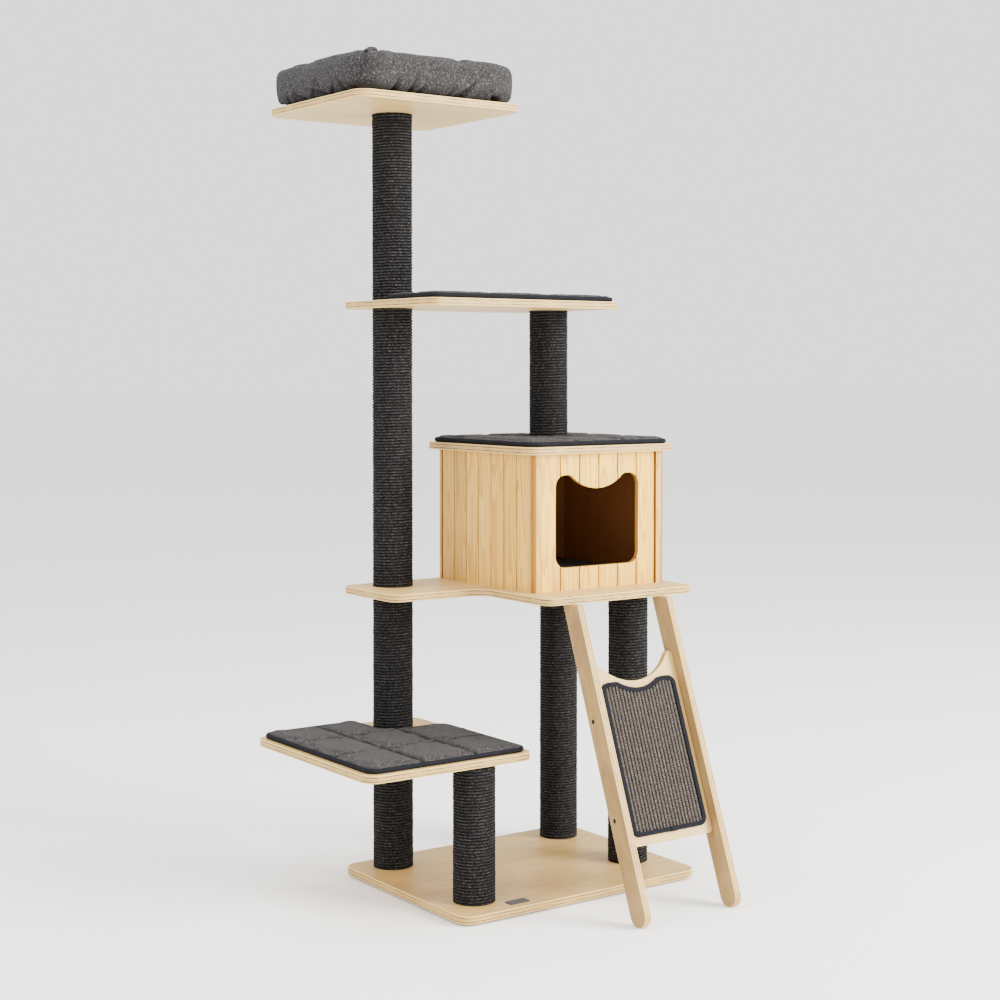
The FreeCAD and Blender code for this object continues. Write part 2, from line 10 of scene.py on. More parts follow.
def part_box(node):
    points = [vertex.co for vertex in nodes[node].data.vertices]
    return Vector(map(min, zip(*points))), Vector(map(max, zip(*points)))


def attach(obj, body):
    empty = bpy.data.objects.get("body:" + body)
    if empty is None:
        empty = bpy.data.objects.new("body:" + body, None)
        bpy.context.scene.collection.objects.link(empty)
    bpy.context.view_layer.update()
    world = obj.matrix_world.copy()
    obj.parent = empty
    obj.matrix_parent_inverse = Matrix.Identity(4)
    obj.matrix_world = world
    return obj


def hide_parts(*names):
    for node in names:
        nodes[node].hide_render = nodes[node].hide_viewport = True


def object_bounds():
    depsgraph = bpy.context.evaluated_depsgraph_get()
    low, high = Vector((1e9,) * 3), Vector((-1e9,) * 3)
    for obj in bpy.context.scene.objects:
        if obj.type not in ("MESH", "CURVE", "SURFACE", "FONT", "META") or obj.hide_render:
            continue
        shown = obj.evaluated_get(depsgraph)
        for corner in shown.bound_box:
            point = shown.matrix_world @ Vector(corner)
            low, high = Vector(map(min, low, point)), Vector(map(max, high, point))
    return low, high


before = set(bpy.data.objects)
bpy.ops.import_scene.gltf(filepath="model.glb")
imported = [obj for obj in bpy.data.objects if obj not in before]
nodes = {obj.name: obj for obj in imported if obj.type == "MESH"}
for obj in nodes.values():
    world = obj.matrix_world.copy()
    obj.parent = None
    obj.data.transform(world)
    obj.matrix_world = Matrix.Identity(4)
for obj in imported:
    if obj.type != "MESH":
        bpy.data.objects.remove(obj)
cad_low, cad_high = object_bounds()

# ---- Small helpers for shader nodes ----


def arithmetic(operation):
    """A method of Shader that does one operation of the Math node."""
    return lambda self, *values: self.node("Math", *values, operation=operation).outputs[0]


class Shader:
    """A material under construction.  What its methods give back is fed onward to the next."""

    times, plus, minus, over, modulo = map(arithmetic, ("MULTIPLY", "ADD", "SUBTRACT", "DIVIDE", "MODULO"))
    absolute, floor, fraction, rounded = map(arithmetic, ("ABSOLUTE", "FLOOR", "FRACT", "ROUND"))
    sine, zigzag, greatest = map(arithmetic, ("SINE", "PINGPONG", "MAXIMUM"))
    above, below = map(arithmetic, ("GREATER_THAN", "LESS_THAN"))

    def __init__(self, name, roughness=0.5, **principled):
        self.material = bpy.data.materials.new(name)
        self.material.use_nodes = True
        self.tree = self.material.node_tree
        self.surface = self.tree.nodes["Principled BSDF"]
        self.surface.inputs["Roughness"].default_value = roughness
        for socket, amount in principled.items():
            self.surface.inputs[socket.replace("_", " ")].default_value = amount

    def feed(self, socket, value):
        if isinstance(value, bpy.types.NodeSocket):
            self.tree.links.new(value, socket)
        elif value is not None:
            socket.default_value = (*value, 1.0) if socket.type == "RGBA" else value

    def node(self, kind, *inputs, **settings):
        made = self.tree.nodes.new("ShaderNode" + kind)
        for key, value in settings.items():
            setattr(made, key, value)
        for index, value in enumerate(inputs):
            self.feed(made.inputs[index], value)
        return made

    def place(self):
        return self.node("TexCoord").outputs["Object"]

    def uv(self):
        return self.node("TexCoord").outputs["UV"]

    def normal(self):
        return self.node("NewGeometry").outputs["Normal"]

    def dot(self, first, second):
        return self.node("VectorMath", first, second, operation="DOT_PRODUCT").outputs["Value"]

    def shifted(self, first, second):
        return self.node("VectorMath", first, second, operation="ADD").outputs["Vector"]

    def stretched(self, place, along, amount):
        """The place squeezed along an axis, so that a pattern laid on it stretches that way."""
        made = self.node("VectorMath", along, operation="SCALE")
        self.feed(made.inputs["Scale"], self.times(self.dot(place, along), -amount))
        return self.shifted(place, made.outputs["Vector"])

    def parts(self, vector):
        made = self.node("SeparateXYZ", vector)
        return made.outputs[0], made.outputs[1], made.outputs[2]

    def combined(self, x, y, z):
        return self.node("CombineXYZ", x, y, z).outputs[0]

    def texture(self, kind, output, **sockets):
        made = self.node(kind)
        for socket, value in sockets.items():
            self.feed(made.inputs[socket], value)
        return made.outputs[output]

    def noise(self, vector, scale, detail=2.0, rough=0.5, distortion=0.0):
        return self.texture("TexNoise", "Fac", Vector=vector, Scale=scale, Detail=detail,
                            Roughness=rough, Distortion=distortion)

    def cells(self, vector, scale):
        return self.texture("TexVoronoi", "Distance", Vector=vector, Scale=scale)

    def dice(self, vector):
        return self.node("TexWhiteNoise", vector).outputs["Value"]

    def ramp(self, value, low, high, to_low=0.0, to_high=1.0):
        """Value between low and high, stretched to the wanted limits and clamped."""
        return self.node("MapRange", value, low, high, to_low, to_high).outputs[0]

    def mix(self, share, first, second):
        made = self.node("Mix", data_type="RGBA")
        self.feed(made.inputs[0], share)
        self.feed(made.inputs[6], first)
        self.feed(made.inputs[7], second)
        return made.outputs[2]

    def stain(self, color, value, low, high, most, tint):
        """Colour with up to most of a tint laid over it, as value goes from low to high."""
        return self.mix(self.ramp(value, low, high, 0.0, most), color, tint)

    def finish(self, color, bump=None, depth=0.0003, strength=1.0, roughness=None):
        """Connect colour, bump height and roughness, and give back the material."""
        self.feed(self.surface.inputs["Base Color"], color)
        self.feed(self.surface.inputs["Roughness"], roughness)
        if bump is not None:
            made = self.node("Bump")
            made.inputs["Distance"].default_value = depth
            made.inputs["Strength"].default_value = strength
            self.feed(made.inputs["Height"], bump)
            self.feed(self.surface.inputs["Normal"], made.outputs[0])
        return self.material


# ---- Materials ----
# Colours are linear red, green and blue.
PLIES = 7
DARK_JOINT = 3.0         # every third glue line of the ply is dark and wide
CORD = 0.006             # one turn of rope
YARN = 0.00105           # one thread of the grey cloth
TAPE_RIB = 0.0012        # one rib of the binding tape
GROOVE = 0.0018          # half the soft shadow at the joint of two slats
GROOVE_HEART = 0.0007    # half its fully dark part
# Colour of the painted shade in the cloth's folds, seams and dimples.
CLOTH_SHADE = (0.004, 0.004, 0.0045)


def plywood(node, across, start, thickness, along, tan=0.0):
    """Lacquered birch ply: across is the normal of its faces, along its grain, start its first face.

    The last argument is how strongly a cloudy, dark brown painted shade covers the faces."""
    s = Shader("ply_" + node, roughness=0.42, Specular_IOR_Level=0.22)
    place = s.place()
    layer = s.over(s.dot(s.shifted(place, -start), across), thickness)
    faceness = s.absolute(s.dot(s.normal(), across))
    is_edge = s.ramp(faceness, 0.92, 0.55)

    grainwise = s.stretched(place, along, 0.94)
    broad = s.noise(grainwise, 14, 3, 0.55, 0.6)
    fine = s.noise(grainwise, 210, 3, 0.6)
    hair = s.noise(grainwise, 620, 2, 0.7)
    face = s.mix(s.ramp(broad, 0.3, 0.72), (0.60, 0.405, 0.142), (0.51, 0.325, 0.100))
    face = s.stain(face, fine, 0.5, 0.78, 0.35, (0.38, 0.215, 0.075))
    face = s.stain(face, hair, 0.60, 0.85, 0.3, (0.30, 0.165, 0.06))
    face = s.stain(face, s.noise(place, 5.5, 2, 0.5), 0.35, 0.7, 0.3, (0.66, 0.465, 0.175))

    knots = s.cells(s.stretched(place, along, 0.4), 8.5)
    face = s.stain(face, knots, 0.036, 0.016, 0.7, (0.22, 0.105, 0.038))
    # Painted shade: cloudy dark brown over the faces of a board that stands in shade.
    if tan:
        cloudy = s.noise(s.stretched(place, along, 0.7), 24, 4, 0.6, 0.8)
        face = s.mix(s.ramp(cloudy, 0.35, 0.68, tan - 0.15, tan + 0.12), face, (0.200, 0.112, 0.042))

    wander = s.times(s.minus(s.noise(place, 17, 1), 0.5), 0.35)
    stack = s.plus(s.times(layer, PLIES), wander)
    odd = s.above(s.zigzag(s.floor(stack), 1.0), 0.5)
    beside = s.absolute(s.minus(s.fraction(stack), 0.5))
    joint = s.modulo(s.rounded(stack), DARK_JOINT)
    strong = s.below(s.absolute(s.minus(joint, DARK_JOINT - 1)), 0.5)
    thin = s.ramp(beside, 0.30, 0.46, 0.0, 0.40)
    wide = s.times(s.ramp(beside, 0.02, 0.26), strong)
    patchy = s.ramp(s.noise(place, 30, 3, 0.65), 0.36, 0.56)
    glue = s.greatest(thin, s.times(wide, s.ramp(patchy, 0, 1, 0.30, 1.0)))
    core = s.mix(odd, (0.66, 0.460, 0.150), (0.47, 0.285, 0.085))
    core = s.stain(core, s.noise(place, 520, 2, 0.6), 0.45, 0.75, 0.35, (0.33, 0.18, 0.065))
    edge = s.mix(glue, core, (0.070, 0.027, 0.009))

    color = s.mix(is_edge, face, edge)
    rim = s.times(s.ramp(faceness, 0.995, 0.93), s.ramp(faceness, 0.3, 0.6))
    color = s.mix(s.times(rim, 0.5), color, (0.76, 0.565, 0.235))
    face_relief = s.times(fine, s.minus(1.0, is_edge))
    relief = s.plus(s.times(face_relief, 0.5), s.times(s.minus(1.0, glue), is_edge))
    gloss = s.ramp(fine, 0.3, 0.8, 0.40, 0.56)
    return s.finish(color, relief, 0.00012, 0.6, gloss)


def pine(node, slat_axis, slat_start, pitch, inward, count=0, warm=0.0):
    """Lacquered knotty pine, with painted shade on its inward side, on the slats' cut edges and on a post's
    outer corner: count slats with grooves between, or one post.
    """
    s = Shader("pine_" + node, roughness=0.4, Specular_IOR_Level=0.2)
    place = s.place()
    x, y, z = s.parts(place)
    side = x if slat_axis == "x" else y
    order = s.over(s.minus(side, slat_start), pitch)
    board = s.floor(order)
    tone = s.dice(s.combined(board, 3.7, 1.3))
    shift = s.times(s.dice(s.combined(board, 9.1, 5.2)), 7.0)

    def upright(amount):
        return s.combined(x, y, s.plus(s.times(z, amount), shift))

    grain = upright(0.055)
    warp = s.noise(upright(0.35), 7, 2, 0.5)
    ring_space = s.plus(s.noise(grain, 22, 2, 0.45), s.times(warp, 0.5))
    rings = s.fraction(s.times(ring_space, 13))
    late = s.times(s.ramp(rings, 0.35, 0.93), s.ramp(rings, 1.0, 0.94))
    hair = s.noise(grain, 420, 3, 0.65)
    pale = s.mix(tone, (0.80, 0.515, 0.092), (0.68, 0.39, 0.055))
    if warm:
        pale = s.mix(warm, pale, (0.88, 0.53, 0.018))
    color = s.mix(s.times(late, 0.72), pale, (0.47, 0.185, 0.03))
    color = s.stain(color, hair, 0.5, 0.85, 0.4, (0.40, 0.18, 0.045))
    color = s.stain(color, s.noise(upright(0.25), 9, 2, 0.5), 0.5, 0.75, 0.35, (0.70, 0.335, 0.085))
    color = s.stain(color, s.cells(upright(0.55), 7.5), 0.085, 0.03, 0.8, (0.26, 0.10, 0.03))
    facing = s.dot(s.normal(), inward)
    if count:
        beside = s.absolute(s.minus(order, s.rounded(order)))
        uneven = s.ramp(s.noise(place, 22, 2), 0.3, 0.7, 0.55, 1.0)
        line = s.times(s.ramp(beside, GROOVE / pitch, GROOVE_HEART / pitch), uneven)
        inner = s.times(s.above(order, 0.4), s.below(order, count - 0.4))
        # Painted shadow: a dark line along each groove between two slats.
        color = s.mix(s.times(line, inner), color, (0.075, 0.033, 0.012))
        # Painted shade on the slats' cut edges, such as the door's edges, which face neither in nor out.
        color = s.stain(color, s.absolute(facing), 0.5, 0.2, 0.75, (0.30, 0.135, 0.040))
    else:
        # Painted shade: the post turns orange-brown, most of all on its outer rounded corner.
        color = s.mix(s.ramp(facing, -0.70, -0.86, 0.22, 0.95), color, (0.265, 0.100, 0.003))
    # Painted shade: faces turned into the house are dark brown.
    color = s.mix(s.ramp(facing, 0.3, 0.7), color, (0.20, 0.078, 0.024))
    gloss = s.ramp(hair, 0.3, 0.8, 0.38, 0.5)
    relief = s.minus(s.times(hair, 0.5), s.times(late, 0.4))
    return s.finish(color, relief, 0.00012, 0.5, gloss)


def melange(name, dark, light):
    """A woven grey melange: yarns of mixed shades crossing over and under."""
    s = Shader(name, roughness=0.92, Specular_IOR_Level=0.15, Sheen_Weight=0.04)
    place = s.place()
    turn = 2 * math.pi / YARN
    waves = [s.sine(s.times(part, turn)) for part in s.parts(place)]
    weave = s.plus(s.plus(s.times(waves[0], waves[1]), s.times(waves[1], waves[2])),
                   s.times(waves[2], waves[0]))
    fleck = s.noise(place, 620, 2, 0.8)
    slub = s.noise(place, 290, 2, 0.75)
    patch = s.noise(place, 30, 3, 0.6)
    share = s.plus(s.times(fleck, 0.5), s.times(slub, 0.5))
    color = s.mix(s.ramp(share, 0.42, 0.60), dark, light)
    color = s.stain(color, slub, 0.59, 0.70, 0.7, s.mix(0.40, light, (0.5, 0.48, 0.47)))
    color = s.mix(s.ramp(weave, -1.0, 1.0, 0.42, 0.0), color, dark)
    color = s.stain(color, patch, 0.35, 0.7, 0.18, light)
    # Painted shade stored on the mesh, in the cloth's folds, seams and dimples.
    painted_cloth_shade = s.node("Attribute", attribute_name="painted_cloth_shade").outputs["Fac"]
    color = s.mix(s.times(painted_cloth_shade, 0.8), color, CLOTH_SHADE)
    relief = s.plus(s.times(weave, 0.5), s.times(fleck, 1.1))
    return s.finish(color, relief, 0.00045, 0.9)


def tape(name, color, pale):
    """Ribbed binding tape."""
    s = Shader(name, roughness=0.85, Specular_IOR_Level=0.08)
    place = s.place()
    x, y, z = s.parts(place)
    diagonal = s.plus(s.plus(x, s.times(y, 0.83)), s.times(z, 1.31))
    ribs = s.sine(s.times(diagonal, 2 * math.pi / TAPE_RIB))
    shade = s.stain(color, ribs, -1, 1, 0.5, pale)
    shade = s.stain(shade, s.noise(place, 60, 3, 0.6), 0.4, 0.7, 0.3, pale)
    return s.finish(shade, ribs, 0.0002, 0.6)


def rope_yarn(name):
    """Dark twisted cord, with painted shade in the grooves between turns and painted light on each turn's
    crown.  The UV map runs along the cord in metres, and across it from 0 to 1.
    """
    s = Shader(name, roughness=0.85, Specular_IOR_Level=0.07)
    length, across, _ = s.parts(s.uv())
    place = s.place()
    jitter = s.times(s.noise(place, 130, 2), 2.2)
    phase = s.plus(s.over(length, CORD), s.times(across, 1.15))
    strand = s.sine(s.times(s.plus(phase, jitter), 2 * math.pi))
    fibre = s.noise(s.combined(s.times(phase, 2.0), s.times(across, 14), length), 3.0, 3, 0.7)
    fuzz = s.noise(place, 1300, 2, 0.8)
    patch = s.noise(place, 45, 3, 0.65)
    black, grey = (0.0020, 0.0018, 0.0018), (0.0125, 0.0117, 0.0115)
    # Across each turn: black at its sides as painted shade, lighter towards its middle as painted light.
    crown = s.minus(1.0, s.absolute(s.minus(s.times(across, 2.0), 1.0)))
    crown = s.ramp(crown, 0.12, 0.74)
    lit = s.times(crown, s.ramp(strand, -0.7, 1.0, 0.12, 1.0))
    lit = s.times(lit, s.ramp(patch, 0.3, 0.68, 0.35, 1.0))
    color = s.mix(lit, black, grey)
    # Light fibre specks, partly their own colour and partly painted highlight, as they show only on the
    # crowns.
    specks = s.ramp(s.noise(place, 300, 2, 0.8), 0.50, 0.66)
    color = s.mix(s.times(s.times(specks, crown), 0.7), color, (0.088, 0.084, 0.083))
    color = s.mix(s.times(s.ramp(fuzz, 0.58, 0.75, 0.0, 0.8), crown), color, (0.185, 0.178, 0.176))
    color = s.mix(s.times(s.ramp(fibre, 0.6, 0.8, 0.0, 0.75), crown), color, (0.40, 0.385, 0.38))
    relief = s.plus(s.plus(strand, s.times(fibre, 0.9)), s.times(crown, 2.0))
    return s.finish(color, relief, 0.0006, 0.9)


def sisal_yarn(name):
    """Looped sisal, taupe on the crowns of its loops and dark brown as painted shade in the gaps between
    them.  The UV map counts ribs across and loops along.
    """
    s = Shader(name, roughness=0.9, Specular_IOR_Level=0.2)
    rib, loop, _ = s.parts(s.uv())
    place = s.place()
    within = s.absolute(s.minus(s.fraction(rib), 0.5))
    beat = s.sine(s.times(loop, 2 * math.pi))
    tone = s.dice(s.combined(s.floor(rib), s.floor(loop), 0.0))
    taupe, gap_shade = (0.064, 0.051, 0.042), (0.0065, 0.0048, 0.0042)
    crown = s.ramp(within, 0.37, 0.17)
    # Painted shade: dark brown between the ribs and between the loops.
    color = s.mix(s.times(crown, s.ramp(beat, -0.9, 0.5, 0.16, 1.0)), gap_shade, taupe)
    color = s.stain(color, tone, 0.5, 1.0, 0.45, (0.040, 0.031, 0.026))
    # Pale straw fibres, partly their own colour and partly painted highlight, brightest on the crowns.
    straw = s.noise(place, 480, 3, 0.75)
    lit = s.times(s.ramp(straw, 0.52, 0.66, 0.0, 0.85), s.ramp(crown, 0, 1, 0.25, 1.0))
    color = s.mix(lit, color, (0.225, 0.190, 0.160))
    return s.finish(color, straw, 0.0004, 0.8)


def paper(name):
    """Brown card or soft plug wood with fibres that run upward."""
    s = Shader(name, roughness=0.85)
    x, y, z = s.parts(s.place())
    fibre = s.noise(s.combined(x, y, s.times(z, 0.2)), 240, 3, 0.6)
    color = s.mix(fibre, (0.40, 0.28, 0.16), (0.55, 0.41, 0.26))
    return s.finish(color, fibre, 0.0001, 0.5)


def metal(name, color, rough, dull):
    """Metal with fine dull scratches."""
    s = Shader(name, roughness=rough, Metallic=1.0)
    scratch = s.noise(s.place(), 900, 3, 0.6)
    return s.finish(s.mix(s.ramp(scratch, 0.4, 0.8), color, dull), scratch, 0.00005, 0.4,
                    s.ramp(scratch, 0.3, 0.8, rough, min(1.0, rough + 0.2)))


def grained(name, scale, dark, light, depth, strength, **surface):
    """A moulded or coated surface with a fine grain."""
    s = Shader(name, **surface)
    grain = s.noise(s.place(), scale, 2, 0.6)
    return s.finish(s.mix(grain, dark, light), grain, depth, strength)


def dress(name, material):
    """Give a CAD node one material."""
    mesh = nodes[name].data
    mesh.materials.clear()
    mesh.materials.append(material)


X, Y, Z = Vector((1, 0, 0)), Vector((0, 1, 0)), Vector((0, 0, 1))


def dress_boards():
    for name, grain in (("base_board", X), ("step_platform", Y), ("middle_platform", X),
                        ("house_roof", X), ("upper_shelf", X), ("top_platform", X)):
        low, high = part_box(name)
        # The base board stands in shade, so its faces get painted shade.
        tan = 0.26 if name == "base_board" else 0.0
        dress(name, plywood(name, Z, low, high.z - low.z, grain, tan))


def ladder_axes():
    """The rails' climbing direction and the panel's outward normal, from the panel's own faces."""
    mesh = nodes["ladder_panel"].data
    front = max((face for face in mesh.polygons if face.normal.y < -0.5), key=lambda face: face.area)
    outward = front.normal.copy()
    return Vector((0, outward.z, -outward.y)), outward


climb, outward = ladder_axes()


def dress_ladder():
    for side in ("left", "right"):
        name = f"ladder_{side}_rail"
        low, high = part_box(name)
        # The rails' side faces stand in shade, so they get strong painted shade.
        dress(name, plywood(name, X, low, high.x - low.x, climb, 0.75))
    depths = [vertex.co.dot(outward) for vertex in nodes["ladder_panel"].data.vertices]
    start = outward * min(depths)
    dress("ladder_panel", plywood("ladder_panel", outward, start, max(depths) - min(depths), climb))


def dress_house():
    for name, axis, count, inward in (("house_front_slats", "x", 6, Y), ("house_back_slats", "x", 6, -Y),
                                      ("house_left_slats", "y", 7, X), ("house_right_slats", "y", 7, -X)):
        low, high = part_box(name)
        start, end = (low.x, high.x) if axis == "x" else (low.y, high.y)
        warm = 0.65 if "front" in name else 0.0
        dress(name, pine(name, axis, start, (end - start) / count, inward, count, warm))
    for corner, right, back in (("front_left", 1, 1), ("front_right", -1, 1),
                                ("back_left", 1, -1), ("back_right", -1, -1)):
        name = "house_post_" + corner
        low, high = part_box(name)
        dress(name, pine(name, "x", low.x - 1.0, 2.0, Vector((right, back, 0)).normalized()))


def dress_hardware():
    steel = metal("zinc_steel", (0.62, 0.62, 0.60), 0.3, (0.42, 0.42, 0.41))
    black = metal("dark_screw", (0.045, 0.04, 0.038), 0.45, (0.02, 0.018, 0.016))
    for name in ("post_bolts", "post_studs"):
        dress(name, steel)
    for name in ("ladder_side_screws", "ladder_top_screws"):
        dress(name, black)
    dress("base_feet", grained("foot_rubber", 700, (0.02, 0.02, 0.02), (0.05, 0.05, 0.05), 0.0002, 0.5,
                               roughness=0.75))
    dress("name_plate", grained("plate_metal", 1100, (0.028, 0.024, 0.024), (0.06, 0.052, 0.05),
                                0.00006, 0.6, roughness=0.5, Specular_IOR_Level=0.2))
    card, plug = paper("card_tube"), paper("plug_wood")
    for name in nodes:
        if name.startswith("tube_"):
            dress(name, card)
    dress("post_plugs", plug)


# ---- Pieces, and the rope: one helical cord on each length of post ----
AROUND = 54              # points round a post
PROFILE = (0.0, 0.12, 0.32, 0.5, 0.68, 0.88)    # points across the cord
CORD_DIP = 0.38 * CORD   # depth of the groove between two turns


def add_object(name, data):
    holder = bpy.data.objects.new(name, data)
    bpy.context.scene.collection.objects.link(holder)
    return holder


def new_piece(name, vertices, faces, material, body):
    mesh = bpy.data.meshes.new(name)
    mesh.from_pydata([tuple(v) for v in vertices], [], faces)
    mesh.materials.append(material)
    mesh.polygons.foreach_set("use_smooth", [True] * len(mesh.polygons))
    mesh.update()
    piece = add_object(name, mesh)
    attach(piece, body)
    return piece


def lay_uv(piece, name, uvs):
    """Give every face corner the UV of its vertex."""
    layer = piece.data.uv_layers.new(name=name)
    order = np.zeros(len(piece.data.loops), int)
    piece.data.loops.foreach_get("vertex_index", order)
    layer.data.foreach_set("uv", np.array(uvs)[order].ravel())


def ring_faces(rows, around, start=0):
    """Faces joining rows of points, each row a closed ring."""
    faces = []
    for row in range(rows):
        for k in range(around):
            here, after = start + row * around + k, start + row * around + (k + 1) % around
            faces.append((here, after, after + around, here + around))
    return faces


def post_round(node):
    """Centre and radius of an upright round node."""
    low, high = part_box(node)
    return (low + high) / 2, (high.x - low.x) / 2


def grid_faces(rows, size):
    """Faces joining rows of points, each row an open line."""
    return [(here, here + size, here + size + 1, here + 1)
            for row in range(rows) for here in range(row * size, row * size + size - 1)]


def wind_rope(node, material):
    """Wind a cord round a post from its lowest to its highest point, each turn against the last."""
    low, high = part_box(node)
    centre, radius = post_round(node)
    turns = (high.z - low.z) / CORD
    rows = int(turns * len(PROFILE))
    seed = sum(ord(letter) for letter in node)
    vertices, uvs = [], []
    for row in range(rows + len(PROFILE) + 1):
        turn, part = divmod(row, len(PROFILE))
        across = PROFILE[part]
        dip = CORD_DIP * (1 - math.sqrt(max(0.0, 1 - (2 * across - 1) ** 2)))
        for step in range(AROUND):
            share = step / AROUND
            height = min(max(low.z + (turn + across + share - 1) * CORD, low.z), high.z)
            angle = 2 * math.pi * share
            spot = Vector((math.cos(angle) * 3, math.sin(angle) * 3, (turn + share) * 0.9 + seed))
            slack = 0.0006 * noise.noise(spot) + 0.0004 * noise.noise(spot * 4.3)
            reach = radius - dip - 0.0003 + slack
            vertices.append((centre.x + reach * math.cos(angle), centre.y + reach * math.sin(angle), height))
            uvs.append(((turn + share) * 2 * math.pi * radius, across))
    faces = []
    for row in range(rows + len(PROFILE)):
        for step in range(AROUND):
            here = row * AROUND + step
            after = here + 1 if step < AROUND - 1 else (row + len(PROFILE)) * AROUND
            if after + AROUND < len(vertices):
                faces.append((here, after, after + AROUND, here + AROUND))
    piece = new_piece(node.replace("rope_", "wound_rope_"), vertices, faces, material, "tree")
    lay_uv(piece, "cord", uvs)
    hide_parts(node)


# ---- Soft parts ----
CLOTH_STIFFNESS = 9.0
PAD_VOXEL, BOLSTER_VOXEL = 0.0044, 0.0058
CORNER = 0.026           # corner radius of the quilted pads
POST_ROOM = 0.0035       # gap between a pad and the post it passes
SEAM_HELD = 0.006        # cloth this near a seam or an edge stays down
BAND_WIDE, BAND_TALL = 0.0078, 0.0094
BAND_INSET, BAND_LIFT = 0.0041, 0.0051
STITCH_PITCH, STITCH_HALF = 0.0052, 0.0016
THREAD_WIDE, THREAD_TALL = 0.00062, 0.00055
GATHERS, DENTS = 34, 18  # round the bolster's seat, and along its crest
KNOT_WAY = math.radians(-135)    # from the tied corner outward


def bell(gap, width):
    """1 where gap is 0, falling smoothly away over about a width."""
    return np.exp(-((gap / width) ** 2))


def rounded(corners, radii, step=0.006):
    """Points round a polygon whose corners are replaced by arcs, running anticlockwise."""
    points, dense = [], []
    corners = [Vector(corner) for corner in corners]
    for index, (corner, radius) in enumerate(zip(corners, radii)):
        into = (corners[index - 1] - corner).normalized()
        out = (corners[(index + 1) % len(corners)] - corner).normalized()
        half = into.angle(out) / 2
        reach = radius / math.tan(half)
        centre = corner + (into + out).normalized() * radius / math.sin(half)
        first, last = corner + into * reach - centre, corner + out * reach - centre
        turn = -first.angle_signed(last)
        pieces = max(2, int(abs(turn) * radius / step))
        for part in range(pieces + 1):
            points.append(centre + Matrix.Rotation(turn * part / pieces, 2) @ first)
    for index, point in enumerate(points):
        following = points[(index + 1) % len(points)]
        parts = max(1, int((following - point).length / step))
        dense += [point.lerp(following, part / parts) for part in range(parts)]
    return dense


def rectangle(low, high, grow=0.0):
    return [(low.x - grow, low.y - grow), (high.x + grow, low.y - grow),
            (high.x + grow, high.y + grow), (low.x - grow, high.y + grow)]


def inset(points, distance):
    """The outline moved inward by a distance along its normals."""
    moved = []
    count = len(points)
    for index, point in enumerate(points):
        tangent = (points[(index + 1) % count] - points[index - 1]).normalized()
        moved.append(point + Vector((-tangent.y, tangent.x)) * distance)
    return moved


def slab(name, outline, low, high, hole=()):
    """A closed prism over an outline, with an optional round hole, ready to be remeshed."""
    work = bmesh.new()
    for loop in (outline, hole) if hole else (outline,):
        ring = [work.verts.new((p.x, p.y, low)) for p in loop]
        for index, vertex in enumerate(ring):
            work.edges.new((vertex, ring[(index + 1) % len(ring)]))
    bmesh.ops.triangle_fill(work, use_beauty=True, use_dissolve=False, edges=work.edges)
    made = bmesh.ops.extrude_face_region(work, geom=list(work.faces))
    upper = [item for item in made["geom"] if isinstance(item, bmesh.types.BMVert)]
    bmesh.ops.translate(work, vec=(0, 0, high - low), verts=upper)
    bmesh.ops.recalc_face_normals(work, faces=work.faces)
    mesh = bpy.data.meshes.new(name)
    work.to_mesh(mesh)
    work.free()
    return add_object(name, mesh)


def apply_modifiers(piece):
    graph = bpy.context.evaluated_depsgraph_get()
    graph.update()
    mesh = bpy.data.meshes.new_from_object(piece.evaluated_get(graph))
    piece.modifiers.clear()
    old, piece.data = piece.data, mesh
    bpy.data.meshes.remove(old)


def remesh(piece, voxel):
    modifier = piece.modifiers.new("voxels", "REMESH")
    modifier.mode = "VOXEL"
    modifier.voxel_size = voxel
    apply_modifiers(piece)


def coordinates(piece, what="co"):
    """One row for each vertex: its place, or its normal."""
    flat = np.zeros(len(piece.data.vertices) * 3)
    piece.data.vertices.foreach_get(what, flat)
    return flat.reshape(-1, 3)


def set_coordinates(piece, points):
    piece.data.vertices.foreach_set("co", np.asarray(points, float).ravel())
    piece.data.update()


def puff(piece, held, pressure, cap, frames=18, slack=-0.04):
    """Blow the closed cover up like stuffing does.  Points in held stay, and none moves past cap."""
    start = coordinates(piece)
    pins = piece.vertex_groups.new(name="held")
    pins.add([int(index) for index in np.nonzero(held)[0]], 1.0, "REPLACE")
    cloth = piece.modifiers.new("cloth", "CLOTH")
    for setting, value in (("vertex_group_mass", "held"), ("quality", 4), ("mass", 0.3),
                           ("tension_stiffness", CLOTH_STIFFNESS), ("compression_stiffness", CLOTH_STIFFNESS),
                           ("shear_stiffness", CLOTH_STIFFNESS / 2), ("bending_stiffness", 0.6),
                           ("shrink_min", slack), ("use_pressure", True),
                           ("uniform_pressure_force", pressure)):
        setattr(cloth.settings, setting, value)
    cloth.settings.effector_weights.gravity = 0.0
    cloth.collision_settings.use_collision = False
    cloth.point_cache.frame_start = 1
    cloth.point_cache.frame_end = frames
    for step in range(1, frames + 1):
        bpy.context.scene.frame_set(step)
    apply_modifiers(piece)
    bpy.context.scene.frame_set(1)
    moved = coordinates(piece) - start
    length = np.linalg.norm(moved, axis=1)
    share = np.where(length > cap, cap / np.maximum(length, 1e-9), 1.0)
    set_coordinates(piece, start + moved * share[:, None])
    piece.vertex_groups.clear()


def refine(piece):
    """One subdivision, applied, so that seams and creases can be pressed into the stuffed shape."""
    modifier = piece.modifiers.new("refine", "SUBSURF")
    modifier.levels = 1
    modifier.render_levels = 1
    apply_modifiers(piece)


def press(piece, depth, dark):
    """Move the surface inward by depth, and store how strongly painted shade darkens each point."""
    set_coordinates(piece, coordinates(piece) - coordinates(piece, "normal") * depth[:, None])
    mark = piece.data.attributes.new("painted_cloth_shade", "FLOAT", "POINT")
    mark.data.foreach_set("value", np.clip(dark, 0, 1))


